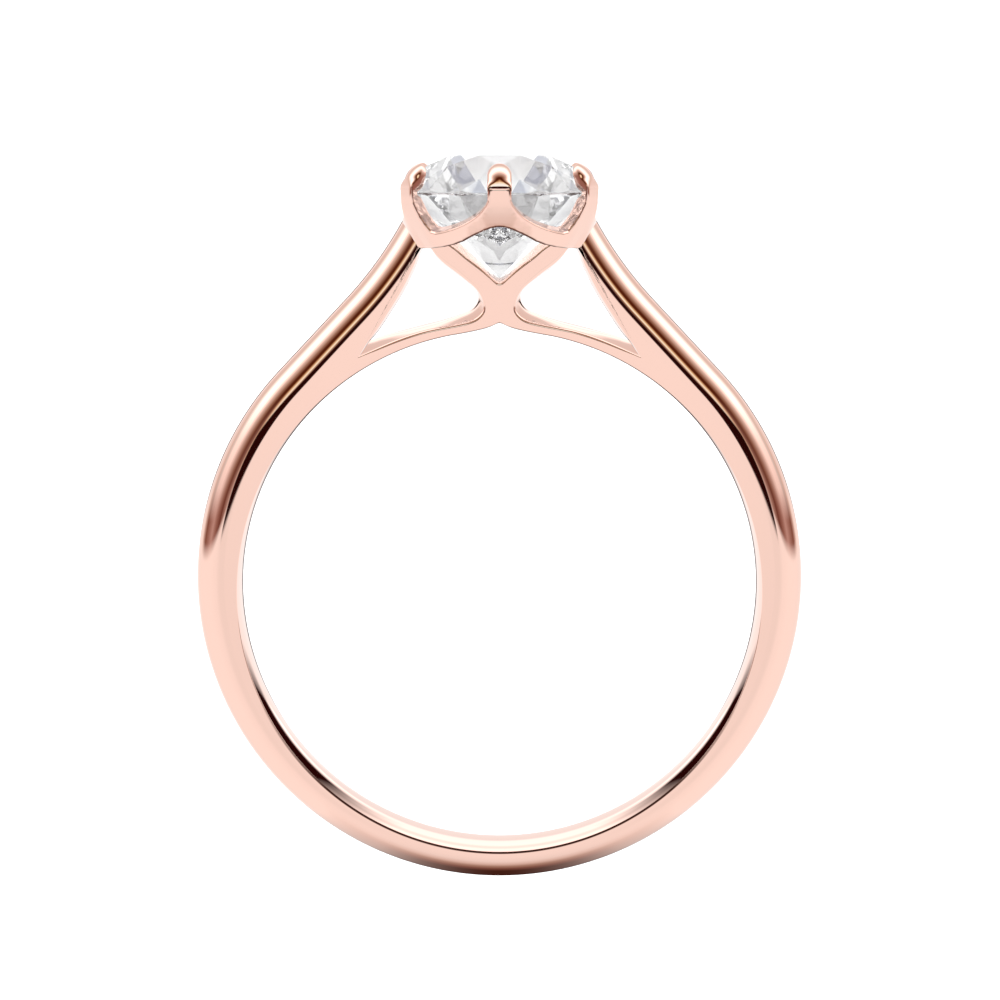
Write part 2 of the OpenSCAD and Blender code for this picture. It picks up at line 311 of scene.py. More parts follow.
# %% [markdown]
# The wall of the finger hole is pulled back in the same way. It has no fillet here, because its edge is
# rounded with a bevel in the next step. Its belly is low, and a finger feels it as comfort.

# %% Wall of the finger hole
work_on(band, "EDGE")
bore_spots = {(round(p.x, 4), round(p.y, 4)) for p in bore_front}
pick("EDGE", lambda e: all(abs(v.co.z - half_w) < 1e-5 and (round(v.co.x, 4), round(v.co.y, 4)) in bore_spots
                           for v in e.verts) and len(e.link_faces) == 1)
belly = 0.06           # how far the wall of the finger hole stands out in the middle of the band
wall_now = [p.copy() for p in bore_front]
for level in (0.90, 0.78, 0.64, 0.48, 0.32, 0.16, 0.0):
    proud = belly * (1 - (level / 0.90) ** 2)
    following = []
    for p in bore_front:
        flat = Vector((p.x, p.y, 0))
        place = flat * (1 - proud / flat.length)
        following.append(Vector((place.x, place.y, level)))
    pull_row(wall_now, following)
    wall_now = following
bpy.ops.mesh.select_all(action="SELECT")
bpy.ops.mesh.remove_doubles(threshold=0.0008)
bpy.ops.object.mode_set(mode="OBJECT")
print("band quarter:", len(band.data.vertices), "vertices")

# %% [markdown]
# The quarter is mirrored to the left and to the back, and the halves are welded where they meet. The
# edge of the finger hole gets a small rounding, as the burnisher leaves it.

# %% Whole band
work_on(band, "EDGE")
pick("EDGE", lambda e: all(abs(v.co.z - half_w) < 1e-5 and (round(v.co.x, 4), round(v.co.y, 4)) in bore_spots
                           for v in e.verts))
hole_edge = 0.03       # rounding of the hole's edge
bpy.ops.mesh.bevel(offset=hole_edge, segments=3, affect="EDGES", profile=0.5)
bpy.ops.object.mode_set(mode="OBJECT")
weld = 0.0005          # vertices closer than this are one


def mirrored(piece, x, z):
    """Mirrors a piece to the left, to the back or both, and welds the halves."""
    work_on(piece)
    bpy.ops.mesh.select_all(action="SELECT")
    bpy.ops.mesh.remove_doubles(threshold=weld)
    nothing_selected()
    piece.select_set(True)
    bpy.context.view_layer.objects.active = piece
    copy = piece.modifiers.new("mirror", "MIRROR")
    copy.use_axis = (x, False, z)
    copy.use_clip = True
    copy.merge_threshold = weld
    bpy.ops.object.modifier_apply(modifier=copy.name)


def outward(piece):
    """Welds what is left double and turns every face outward."""
    work_on(piece, "FACE")
    bpy.ops.mesh.select_all(action="SELECT")
    bpy.ops.mesh.remove_doubles(threshold=weld)
    bpy.ops.mesh.normals_make_consistent(inside=False)
    bpy.ops.object.mode_set(mode="OBJECT")


def open_edges(piece):
    """Counts the edges with one face, which are open, and those with more than two."""
    count = {}
    for p in piece.data.polygons:
        for key in p.edge_keys:
            count[key] = count.get(key, 0) + 1
    return sum(1 for n in count.values() if n == 1), sum(1 for n in count.values() if n > 2)


mirrored(band, True, True)
outward(band)
print("band:", len(band.data.polygons), "faces, open and doubled edges", open_edges(band))

# %% [markdown]
# The ends of the shoulders and struts are open where they run into the head. They are closed there,
# so that the band is a full solid before the head is soldered over it.

# %% Closed ends
def smoothed(piece, degrees=35):
    """Smooth shading with sharp edges kept, and normals that follow the large faces."""
    nothing_selected()
    piece.select_set(True)
    bpy.context.view_layer.objects.active = piece
    bpy.ops.object.shade_smooth_by_angle(angle=math.radians(degrees))
    even = piece.modifiers.new("even", "WEIGHTED_NORMAL")
    even.mode = "FACE_AREA"
    even.weight = 60
    even.keep_sharp = True
    bpy.ops.object.modifier_apply(modifier=even.name)


work_on(band, "EDGE")
bpy.ops.mesh.select_all(action="SELECT")
bpy.ops.mesh.fill_holes(sides=0)
bpy.ops.object.mode_set(mode="OBJECT")
outward(band)
smoothed(band)
print("band closed:", open_edges(band))

# %% [markdown]
# The head is a cup of even wall with six claws standing on it. It is drawn flat first, as a strip of
# metal would be pierced: round the cup in one direction and up in the other. Only a quarter is drawn,
# from the front claw to the middle of the side wall, with a little spare at both ends. The outline is
# drawn in one line, filled, and inset in small steps that rise, which rounds its edge.

# %% Head, drawn flat
claw_r = 3.5           # radius of the circle of claws, to their outer faces
claw_half = 0.39       # half the width of a claw
claw_t = 0.46          # thickness of the wall and the claws
shoulder_z = 13.31     # level where the flat face of a claw ends and its round tip starts
cup_z = 12.75          # level where the cup ends and the claws stand straight
quarter = claw_r * math.pi / 2


def cup_radius(z):
    """Radius of the outside of the cup at a level. It narrows downward, faster and faster."""
    down = max(0.0, cup_z - z)
    rise = min(1.0, max(0.0, (z - cup_z) / 0.25))
    return 3.47 - 0.40 * down - 0.12 * down * down + 0.03 * rise


def flat_from_front(x, z):
    """Place on the strip of a point seen from the front."""
    return (claw_r * math.asin(min(1.0, x / cup_radius(z))), z)


arch_top = [
    (0.39, 12.88), (0.45, 12.72), (0.55, 12.58), (0.66, 12.46), (0.80, 12.34), (0.96, 12.23),
    (1.14, 12.13), (1.32, 12.04), (1.50, 11.97), (1.72, 11.895), (1.92, 11.84), (2.08, 11.81),
]
arch_foot = [
    (0.0, 12.01), (0.14, 12.0), (0.27, 11.965), (0.51, 11.87), (0.70, 11.78), (0.88, 11.69), (1.14, 11.54),
    (1.44, 11.42), (1.80, 11.33), (2.20, 11.26), (2.45, 11.24),
]
side_claw = math.radians(60)      # turn from the front claw to the next one
claw_sides = [(12.05, 0.535), (12.3, 0.46), (12.75, 0.39)]
side_dip = [
    (12.72, 0.43), (12.58, 0.50), (12.46, 0.60), (12.36, 0.75), (12.28, 0.95), (12.22, 1.18), (12.185, 1.45),
]
spare = 0.3            # length past each end, cut away later


def beside_claw(z, half, way):
    """Place on the strip of a point beside the side claw, before it (-1) or past it (1)."""
    return (claw_r * (side_claw + way * half / cup_radius(z)), z)


strip_line = [(-spare, shoulder_z), (claw_half, shoulder_z)]
strip_line += [flat_from_front(x, z) for x, z in [(claw_half, 13.1)] + arch_top]
strip_line += [beside_claw(11.845, 0.615, -1)] + [beside_claw(z, h, -1) for z, h in claw_sides]
strip_line += [beside_claw(shoulder_z, claw_half, -1), beside_claw(shoulder_z, claw_half, 1),
               beside_claw(12.85, claw_half, 1)]
strip_line += [beside_claw(z, h, 1) for z, h in side_dip]
strip_line += [(quarter, 12.17), (quarter + spare, 12.17), (quarter + spare, 11.22), (quarter, 11.22)]
strip_line += [flat_from_front(x, z) for x, z in reversed(arch_foot)] + [(-0.14, 12.0), (-spare, 11.965)]
edge_round = 0.10      # rounding of the strip's edges
head = start_piece("head", Vector((strip_line[0][0], strip_line[0][1], -edge_round)))
pull_along([Vector((a, z, -edge_round)) for a, z in strip_line + strip_line[:1]])
bpy.ops.mesh.select_all(action="SELECT")
bpy.ops.mesh.remove_doubles(threshold=weld)
bpy.ops.mesh.select_all(action="SELECT")
bpy.ops.mesh.edge_face_add()
bpy.context.tool_settings.mesh_select_mode = (False, False, True)
edge_turns = [math.radians(d) for d in (90, 68, 48, 31, 15, 0)]
for a, b in zip(edge_turns, edge_turns[1:]):
    bpy.ops.mesh.inset(thickness=edge_round * (math.sin(a) - math.sin(b)), depth=0)
    bpy.ops.transform.translate(value=(0, 0, edge_round * (math.cos(b) - math.cos(a))))
bpy.ops.object.mode_set(mode="OBJECT")
top_of_strip = max(v.co.z for v in head.data.vertices)
print("strip:", len(head.data.vertices), "vertices, highest", round(top_of_strip, 4))

# %% [markdown]
# The face is cut into a grid, so that it can be bent. Its copy, turned over, is the inside of the wall,
# and the edge of the front is pulled back to meet it. The spare ends are cut away last.

# %% Thickness of the strip
work_on(head, "FACE")
grid_across = claw_r * math.radians(3)
grid_up = 0.15
for k in range(1, 30):
    bpy.ops.mesh.select_all(action="SELECT")
    bpy.ops.mesh.bisect(plane_co=(grid_across * k, 0, 0), plane_no=(1, 0, 0))
for k in range(1, 16):
    bpy.ops.mesh.select_all(action="SELECT")
    bpy.ops.mesh.bisect(plane_co=(0, 11.0 + grid_up * k, 0), plane_no=(0, 1, 0))
pick("FACE", lambda f: len(f.verts) > 4 and all(abs(v.co.z) < 1e-6 for v in f.verts))
bpy.ops.mesh.quads_convert_to_tris(quad_method="BEAUTY", ngon_method="BEAUTY")
bpy.ops.mesh.select_all(action="SELECT")
bpy.ops.mesh.duplicate()
bpy.ops.transform.resize(value=(1, 1, -1), center_override=(0, 0, -claw_t / 2))
pick("EDGE", lambda e: len(e.link_faces) == 1 and all(abs(v.co.z + edge_round) < 1e-6 for v in e.verts))
bpy.ops.mesh.extrude_edges_move(TRANSFORM_OT_translate={"value": (0, 0, 2 * edge_round - claw_t)})
bpy.ops.mesh.select_all(action="SELECT")
bpy.ops.mesh.remove_doubles(threshold=weld)
bpy.ops.mesh.select_all(action="SELECT")
bpy.ops.mesh.normals_make_consistent(inside=False)
bpy.ops.mesh.select_all(action="SELECT")
bpy.ops.mesh.bisect(plane_co=(0, 0, 0), plane_no=(1, 0, 0), clear_inner=True)
bpy.ops.mesh.select_all(action="SELECT")
bpy.ops.mesh.bisect(plane_co=(quarter, 0, 0), plane_no=(1, 0, 0), clear_outer=True)
bpy.ops.object.mode_set(mode="OBJECT")
print("thick strip:", len(head.data.polygons), "faces, open and doubled edges", open_edges(head))

# %% [markdown]
# Bending: what was the length along the strip becomes the turn round the cup, every level takes the
# radius of the cup there, and the thickness goes square to the wall. The quarter is then mirrored.

# %% Head, bent round
def wall_stands_out(z):
    """How far the side walls stand out from the claws beside them."""
    low = min(1.0, max(0.0, (12.6 - z) / 1.4))
    return 0.20 * low * low


def around(turn, z):
    """A place on the outside of the head. The claws have flat faces."""
    off = min(abs(turn), abs(turn - side_claw))
    flat = 1 / math.cos(min(off, math.radians(7.5)))
    fade = min(1.0, max(0.0, (math.radians(13) - off) / math.radians(5.5)))
    beyond_claw = min(1.0, max(0.0, (turn - math.radians(67)) / math.radians(4)))
    r = cup_radius(z) * (1 + (flat - 1) * fade) + wall_stands_out(z) * beyond_claw
    return Vector((r * math.sin(turn), z, r * math.cos(turn)))


def square_to_wall(turn, z):
    """The direction out of the wall. The cup widens upward, so it leans down."""
    down = max(0.0, cup_z - z)
    slope = (0.40 + 0.24 * down) * min(1.0, max(0.0, (cup_z + 0.2 - z) / 0.2))
    return Vector((math.sin(turn), -slope, math.cos(turn))).normalized()


for v in head.data.vertices:
    turn, z, depth = v.co.x / claw_r, v.co.y, v.co.z
    v.co = around(turn, z) + square_to_wall(turn, z) * depth
mirrored(head, True, True)
outward(head)
print("head:", len(head.data.polygons), "faces, open and doubled edges", open_edges(head),
      [round(min(v.co[i] for v in head.data.vertices), 3) for i in range(3)],
      [round(max(v.co[i] for v in head.data.vertices), 3) for i in range(3)])

# %% [markdown]
# Each claw ends in a round tip that is bent over the stone, like a small ball of solder that was
# filed to shape. One tip is made on its own. It grows upward from the flat claw, level by level: every
# level has an inside, an outside and a width, and its outside goes from the flat face of the claw to
# round. The tip is copied to the six claws.

# %% Claw tips
# height, depth of the outside, depth of the inside
tip_levels = [
    (-0.12, 0.004, 0.44), (-0.04, 0.004, 0.47), (0.0, 0.005, 0.49), (0.04, 0.008, 0.50),
    (0.08, 0.014, 0.51), (0.13, 0.024, 0.527), (0.18, 0.037, 0.545), (0.24, 0.054, 0.563),
    (0.30, 0.074, 0.58), (0.36, 0.10, 0.60), (0.42, 0.133, 0.61), (0.48, 0.172, 0.615),
    (0.54, 0.219, 0.615), (0.59, 0.268, 0.61), (0.63, 0.315, 0.603), (0.665, 0.362, 0.594),
    (0.695, 0.408, 0.58), (0.72, 0.452, 0.563), (0.737, 0.486, 0.545), (0.746, 0.508, 0.53),
]
tip_top = 0.7505       # height where the tip closes
tip_columns = 20       # steps across its outside
tip_round_at = 0.36    # height where its sides start to close


def tip_section(height, outside, inside):
    """Outline of the tip at one level, seen from above: a round outside and a flatter inside."""
    over = max(0.0, height - tip_round_at) / (tip_top - tip_round_at)
    half = claw_half * math.sqrt(max(0.0, 1 - over * over))
    full = 2.0 + 5.0 * max(0.0, 1 - max(0.0, height) / 0.30) ** 2
    belly_out = min(0.10 + 0.6 * max(0.0, height), 0.26, 0.62 * (inside - outside))
    belly_in = min(0.08, 0.30 * (inside - outside))
    points = []
    for k in range(tip_columns + 1):
        turn = math.pi * k / tip_columns
        side, out = -math.cos(turn), math.sin(turn)
        side = math.copysign(abs(side) ** (2 / full), side)
        out = out ** (2 / full)
        points.append(Vector((half * side, height, -(outside + belly_out * (1 - out)))))
    for k in range(tip_columns // 2 + 1):
        turn = math.pi * k / (tip_columns // 2)
        side, out = math.cos(turn), math.sin(turn)
        side = math.copysign(abs(side) ** 0.7, side)
        points.append(Vector((half * side * 0.998, height, -(inside - belly_in * (1 - out ** 0.7)))))
    return points


section = tip_section(*tip_levels[0])
tip = start_piece("tip", section[0])
pull_along(section + section[:1])
bpy.ops.mesh.select_all(action="SELECT")
bpy.ops.mesh.remove_doubles(threshold=1e-6)
bpy.context.tool_settings.mesh_select_mode = (False, True, False)
bpy.ops.mesh.select_all(action="SELECT")
for level in tip_levels[1:]:
    following = tip_section(*level)
    pull_row(section, following)
    section = following
bpy.ops.mesh.select_all(action="SELECT")
bpy.ops.mesh.fill_holes(sides=0)
bpy.ops.object.mode_set(mode="OBJECT")
for v in tip.data.vertices:
    v.co = (v.co.x, v.co.y + shoulder_z, v.co.z + claw_r)
outward(tip)
tips = []
for k in range(6):
    nothing_selected()
    tip.select_set(True)
    bpy.context.view_layer.objects.active = tip
    bpy.ops.object.duplicate()
    copy = bpy.context.object
    copy.rotation_euler = (0, math.radians(60 * k), 0)
    bpy.ops.object.transform_apply(location=True, rotation=True, scale=True)
    tips.append(copy)
bpy.data.objects.remove(tip)
print("tips:", len(tips), "open and doubled edges of one", open_edges(tips[0]))

# %% [markdown]
# The stone is a round brilliant: a girdle, a flat table, eight kites with stars and upper halves above,
# and eight mains with lower halves below. It starts as a short round bar, and every facet is ground
# on with one cut, in the order a cutter works: mains first, then the small facets.

# %% Stone
girdle_top, girdle_low, table_z, culet_z = 13.18, 13.02, 14.31, 10.27   # levels
stone_r = 3.25         # radius of the girdle
half_facet, quarter_facet = math.radians(22.5), math.radians(11.25)
table_r = 1.734        # radius of the table, at its corners
star_r, lower_r = stone_r * 0.738, stone_r * 0.23   # where the stars and the lower halves end
kite_slope, main_slope = 0.7454, (girdle_low - culet_z) / stone_r
star_z = table_z - kite_slope * (star_r * math.cos(half_facet) - table_r)
star_slope = (table_z - star_z) / (star_r - table_r * math.cos(half_facet))
upper_slope = (star_z - girdle_top) / (stone_r - star_r) / math.cos(quarter_facet)
lower_z = girdle_low - main_slope * (stone_r - lower_r * math.cos(half_facet))
lower_slope = (girdle_low - lower_z) / (stone_r - lower_r) / math.cos(quarter_facet)
nothing_selected()
bpy.ops.mesh.primitive_cylinder_add(vertices=96, radius=stone_r, depth=table_z - culet_z,
                                    location=(0, (table_z + culet_z) / 2, 0), rotation=(math.pi / 2, 0, 0))
stone = bpy.context.object
stone.name = "stone"
stone.data.name = "stone"
bpy.ops.object.transform_apply(location=True, rotation=True, scale=True)


def cut_facets(count, first, way, edge_r, edge_z, slope):
    """Grinds facets: planes through the level edge_z at the distance edge_r, that slope inward."""
    for k in range(count):
        turn = first + 2 * math.pi * k / count
        out = Vector((math.sin(turn), 0, math.cos(turn)))
        normal = (out * slope + Vector((0, way, 0))).normalized()
        bpy.ops.mesh.select_all(action="SELECT")
        bpy.ops.mesh.bisect(plane_co=out * edge_r + Vector((0, edge_z, 0)), plane_no=normal,
                            use_fill=True, clear_outer=True)


work_on(stone, "FACE")
cut_facets(8, half_facet, 1, stone_r, girdle_top, kite_slope)
cut_facets(8, half_facet, -1, stone_r, girdle_low, main_slope)
cut_facets(8, 0, 1, table_r * math.cos(half_facet), table_z, star_slope)
cut_facets(16, quarter_facet, 1, stone_r * math.cos(quarter_facet), girdle_top, upper_slope)
cut_facets(16, quarter_facet, -1, stone_r * math.cos(quarter_facet), girdle_low, lower_slope)
bpy.ops.object.mode_set(mode="OBJECT")
outward(stone)
print("stone:", len(stone.data.polygons), "facets", open_edges(stone),
      [round(min(v.co[i] for v in stone.data.vertices), 3) for i in range(3)],
      [round(max(v.co[i] for v in stone.data.vertices), 3) for i in range(3)])

# %% [markdown]
# The stone sits in a seat cut into the claws. The seat is cut with a slightly larger copy of the
# stone, so that a thin gap is left all round it.

# %% Seat of the stone
nothing_selected()
stone.select_set(True)
bpy.context.view_layer.objects.active = stone
bpy.ops.object.duplicate()
seat = bpy.context.object
seat.scale = (1.012, 1.0, 1.012)
bpy.ops.object.transform_apply(location=True, rotation=True, scale=True)
for piece in tips + [head]:
    nothing_selected()
    piece.select_set(True)
    bpy.context.view_layer.objects.active = piece
    cut = piece.modifiers.new("seat", "BOOLEAN")
    cut.operation = "DIFFERENCE"
    cut.object = seat
    cut.solver = "EXACT"
    bpy.ops.object.modifier_apply(modifier=cut.name)
bpy.data.objects.remove(seat)
nothing_selected()
for piece in tips:
    piece.select_set(True)
bpy.context.view_layer.objects.active = tips[0]
bpy.ops.object.join()
claw_tips = bpy.context.object
claw_tips.name = "claw_tips"
claw_tips.data.name = "claw_tips"
smoothed(claw_tips, 40)
smoothed(head, 30)
print("head:", open_edges(head), "tips:", open_edges(claw_tips))

# %% [markdown]
# So far everything was made flat on the bench, in millimetres. Each piece now goes to the place where
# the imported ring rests, and the move is applied to its mesh, so that its object sits at the origin. The
# band, the head and the tips are soldered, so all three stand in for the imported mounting.

# %% To the resting place
for piece, node, slot in ((band, "mounting", "rose_metal"), (head, "mounting", "rose_metal"),
                          (claw_tips, "mounting", "rose_metal"), (stone, "diamond", "clear_stone")):
    piece.matrix_world = to_rest
    nothing_selected()
    piece.select_set(True)
    bpy.context.view_layer.objects.active = piece
    bpy.ops.object.transform_apply(location=True, rotation=True, scale=True)
    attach(piece, "root")
    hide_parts(node)

# %% [markdown]
# Rose gold is a mirror with a colour. Its colour is fixed by the alloy, and all else that the eye sees
# in it is the room. So the material is a metal with very low roughness, and its colour wanders only a
# little, as cast metal does. A noise on Object coordinates stays with the piece when it is turned.
#
# Along the foot a thin dark line runs on the front edge of the finger hole. It is a painted reflection: on
# the real ring it is something dark that the edge reflects. A dark strip overhead would darken the claw tips
# too, since they face the same way, so the line is painted in the metal's colour by place.

# %% Rose gold
def node_material(name):
    """A new material with its node tree and its shader."""
    material = bpy.data.materials.new(name)
    material.use_nodes = True
    tree = material.node_tree
    return material, tree, tree.nodes["Principled BSDF"]


def cloudy_colour(tree, shader, size, first, second):
    """Feeds the shader a colour that wanders between two, in clouds of a size."""
    place = tree.nodes.new("ShaderNodeTexCoord")
    clouds = tree.nodes.new("ShaderNodeTexNoise")
    clouds.inputs["Scale"].default_value = size
    mix = tree.nodes.new("ShaderNodeMix")
    mix.data_type = "RGBA"
    mix.inputs["A"].default_value = (*first, 1)
    mix.inputs["B"].default_value = (*second, 1)
    tree.links.new(place.outputs["Object"], clouds.inputs["Vector"])
    tree.links.new(clouds.outputs["Fac"], mix.inputs["Factor"])
    tree.links.new(mix.outputs["Result"], shader.inputs["Base Color"])
    return mix.outputs["Result"]


bench_x = Vector((1, 0, 0))
bench_y = (rest_turn.to_3x3() @ Vector((0, 1, 0))).normalized()
bench_z = hole_axis


def painted_foot_reflection(tree, shader, colour, dark):
    """Paints a dark reflection into the base colour, on the edge of the finger hole along the foot of the
    band.
    """
    def measured(operation, first, second=(0, 0, 0)):
        node = tree.nodes.new("ShaderNodeVectorMath")
        node.operation = operation
        tree.links.new(first, node.inputs[0])
        node.inputs[1].default_value = second
        return node

    def rises(value, start, end):
        node = tree.nodes.new("ShaderNodeMapRange")
        node.inputs["From Min"].default_value = start * MM
        node.inputs["From Max"].default_value = end * MM
        tree.links.new(value, node.inputs["Value"])
        return node.outputs["Result"]

    def product(first, second):
        node = tree.nodes.new("ShaderNodeMath")
        node.operation = "MULTIPLY"
        tree.links.new(first, node.inputs[0])
        tree.links.new(second, node.inputs[1])
        return node.outputs["Value"]

    place = tree.nodes.new("ShaderNodeTexCoord")
    spot = measured("SUBTRACT", place.outputs["Object"], hole["pos_m"]).outputs["Vector"]
    across_hole = measured("CROSS_PRODUCT", spot, bench_z).outputs["Vector"]
    from_axis = measured("LENGTH", across_hole).outputs["Value"]
    upward = measured("DOT_PRODUCT", spot, bench_y).outputs["Value"]
    forward = measured("DOT_PRODUCT", spot, bench_z).outputs["Value"]
    line_w = 0.065         # width of the line
    near_hole = rises(from_axis, bore_r + line_w + 0.01, bore_r + line_w - 0.01)
    at_foot = rises(upward, -3.5, -6.5)
    at_front = rises(forward, half_w - hole_edge - 0.005, half_w - hole_edge + 0.005)
    mix = tree.nodes.new("ShaderNodeMix")
    mix.data_type = "RGBA"
    mix.inputs["B"].default_value = (*dark, 1)
    tree.links.new(product(product(near_hole, at_foot), at_front), mix.inputs["Factor"])
    tree.links.new(colour, mix.inputs["A"])
    tree.links.new(mix.outputs["Result"], shader.inputs["Base Color"])


rose, tree, shader = node_material("rose_gold")
shader.inputs["Metallic"].default_value = 1.0
shader.inputs["Roughness"].default_value = 0.04
gold = cloudy_colour(tree, shader, 900.0, (0.975, 0.665, 0.565), (0.985, 0.675, 0.575))
# Painted reflection: a thin dark line put into the base colour on the front edge of the finger hole, along
# the foot.
painted_foot_reflection(tree, shader, gold, (0.06, 0.02, 0.012))
for piece in (band, head, claw_tips):
    piece.data.materials.clear()
    piece.data.materials.append(rose)
    piece.visible_glossy = False
    piece.visible_transmission = False
    piece.visible_diffuse = False
print("rose gold on", band.name, head.name, claw_tips.name)

# %% [markdown]
# The metal was hidden from its own reflections, from the stone and from the floor. A polished ring in a
# small opening would show itself again and again, each time redder, and the stone and the floor would
# turn pink. The room is what should show in all of them.
#
# A diamond bends light more than most clear stones do: its index is 2.42. A glass shader with that
# number, on true flat facets, gives the bright and dark triangles by itself.

# %% Diamond
clear, tree, shader = node_material("diamond")
shader.inputs["Transmission Weight"].default_value = 0.97
shader.inputs["IOR"].default_value = 2.42
shader.inputs["Roughness"].default_value = 0.0
cloudy_colour(tree, shader, 300.0, (0.925, 0.925, 0.93), (0.94, 0.94, 0.945))
stone.data.materials.clear()
stone.data.materials.append(clear)
print("diamond on", stone.name)

# %% [markdown]
# The ring lies on a plain white floor. The floor is hidden from glossy rays, so that the room alone
# shows in the metal.

# %% Floor
nothing_selected()
bpy.ops.mesh.primitive_plane_add(size=0.6, location=(0, 0, 0))
floor = bpy.context.object
floor.name = "floor"
white, tree, shader = node_material("white_floor")
shader.inputs["Roughness"].default_value = 0.9
cloudy_colour(tree, shader, 40.0, (0.93, 0.93, 0.93), (0.95, 0.95, 0.95))
floor.data.materials.append(white)
floor.visible_glossy = False
print("floor:", round(floor.dimensions.x, 2), "m wide")

# %% [markdown]
# A mirror needs a room. A photographer builds one round a ring from white and dark cards, until every
# curve of the metal has a bright or a dark line. The room is painted on the sky here, by direction: how
# far a direction points along the hole's axis, toward the front, and which way round that axis it
# heads, with 1 toward the stone and -1 toward the foot. It belongs to the ring, so it doesn't follow the
# camera. First come the helpers that wire the nodes.

# %% Helpers for the room
world = bpy.data.worlds.new("studio")
bpy.context.scene.world = world
world.use_nodes = True
tree = world.node_tree
tree.nodes.clear()


def value_node(kind, **settings):
    """A new node of the sky, with its settings."""
    made = tree.nodes.new(kind)
    for key, value in settings.items():
        setattr(made, key, value)
    return made


def feed(socket, source):
    """Sets a socket to a number or a colour, or links it."""
    if isinstance(source, (int, float, tuple)):
        socket.default_value = source
    else:
        tree.links.new(source, socket)


def dot_with(direction, vector):
    """How far a direction points along a vector."""
    made = value_node("ShaderNodeVectorMath", operation="DOT_PRODUCT")
    feed(made.inputs[0], direction)
    feed(made.inputs[1], tuple(vector))
    return made.outputs["Value"]


def curve(source, stops):
    """A colour ramp over a value from -1 to 1. Each stop is a place, and a grey or a colour."""
    spread = value_node("ShaderNodeMapRange")
    feed(spread.inputs["Value"], source)
    spread.inputs["From Min"].default_value = -1.0
    spread.inputs["From Max"].default_value = 1.0
    ramp = value_node("ShaderNodeValToRGB")
    feed(ramp.inputs["Fac"], spread.outputs["Result"])
    bar = ramp.color_ramp
    while len(bar.elements) > 1:
        bar.elements.remove(bar.elements[-1])
    first = True
    for place, tone in stops:
        stop = bar.elements[0] if first else bar.elements.new((place + 1) / 2)
        stop.position = (place + 1) / 2
        rgb = tone if isinstance(tone, tuple) else (tone, tone, tone)
        stop.color = (*rgb, 1)
        first = False
    return ramp.outputs["Color"]


def blend(share, a, b):
    """A colour that goes from a to b with the share."""
    made = value_node("ShaderNodeMix", data_type="RGBA")
    feed(made.inputs["Factor"], share)
    feed(made.inputs["A"], a)
    feed(made.inputs["B"], b)
    return made.outputs["Result"]


def number(kind, a, b=0.0):
    """One step of arithmetic."""
    made = value_node("ShaderNodeMath", operation=kind)
    feed(made.inputs[0], a)
    feed(made.inputs[1], b)
    return made.outputs["Value"]


def lean(degrees):
    """How far along the axis a direction points that leans so many degrees from it."""
    return math.cos(math.radians(degrees))


room_strength = 2.0    # a grey of 0.5 in the room is white


def shows(red, green, blue):
    """The colour of the room that makes the metal show a given colour, in steps of 255."""
    linear = [((v / 255 + 0.055) / 1.055) ** 2.4 for v in (red, green, blue)]
    return tuple(v / (tint * room_strength) for v, tint in zip(linear, (0.98, 0.67, 0.57)))


direction = value_node("ShaderNodeTexCoord").outputs["Generated"]
along_y = dot_with(direction, bench_y)
along_z = dot_with(direction, bench_z)
left_over = number("SUBTRACT", 1.0, number("MULTIPLY", along_z, along_z))
leaning = number("SQRT", number("MAXIMUM", left_over, 1e-6))
heading = number("DIVIDE", along_y, leaning)
print("room: metal pink needs a grey of 0.5, deep brown", [round(v, 3) for v in shows(84, 30, 10)])

# %% [markdown]
# Four strips of the room, each from the back (-1) to the front (1): above, toward the stone; beside;
# below; and straight under the foot. The upper ones are bright with brown and dark bands, which draw
# the lines along the shoulders. The lower ones are calm, so that the shank stays evenly pink.

# %% Four strips of the room
above = curve(along_z, [
    (-1.0, 0.49), (-0.974, 0.49), (-0.968, shows(245, 212, 200)), (-0.962, 0.66), (-0.95, 0.70),
    (-0.925, 0.84), (-0.91, 0.76), (-0.895, 0.62), (-0.882, 0.72), (-0.868, 0.85), (-0.84, 0.74),
    (-0.70, shows(230, 192, 178)), (-0.40, shows(228, 184, 168)), (-0.25, shows(250, 225, 210)),
    (-0.07, 0.9), (0.20, 0.85), (lean(64), shows(222, 178, 160)), (lean(52), shows(155, 105, 82)),
    (lean(43), shows(84, 30, 10)), (lean(36), shows(84, 30, 10)), (lean(32), shows(205, 145, 98)),
    (lean(29), shows(246, 208, 170)), (lean(26), shows(254, 228, 198)), (lean(23), shows(170, 112, 74)),
    (lean(20), shows(76, 28, 14)), (lean(15), shows(45, 9, 6)), (lean(8), shows(43, 8, 6)),
    (1.0, shows(50, 12, 8)),
])
beside = curve(along_z, [
    (-1.0, 0.49), (-0.974, 0.49), (-0.968, shows(245, 212, 200)), (-0.962, 0.8), (-0.93, 0.8),
    (-0.85, 0.5), (lean(122), 0.48), (lean(119), shows(239, 196, 178)),
    (lean(110), shows(190, 140, 124)), (lean(99), shows(128, 72, 55)), (lean(84), shows(159, 103, 88)),
    (lean(70), shows(187, 132, 117)), (lean(58), shows(149, 92, 77)), (lean(46), shows(108, 52, 38)),
    (lean(37), shows(160, 108, 92)), (lean(28), shows(215, 170, 154)), (lean(15), shows(235, 195, 180)),
    (1.0, shows(245, 205, 190)),
])
below = curve(along_z, [
    (-1.0, 0.53), (-0.60, 0.5), (lean(94), 0.52), (lean(64), 0.52), (lean(40), 0.5), (lean(28), 0.46),
    (lean(14), 0.46), (lean(8), 0.5), (1.0, 0.5),
])
under = curve(along_z, [
    (-1.0, shows(60, 26, 18)), (lean(97), shows(68, 31, 21)), (lean(84), shows(118, 68, 54)),
    (lean(72), shows(165, 118, 99)), (lean(62), shows(215, 172, 156)), (lean(50), 0.44),
    (lean(36), 0.48), (1.0, 0.5),
])
print("strips wired:", len(tree.nodes), "nodes")

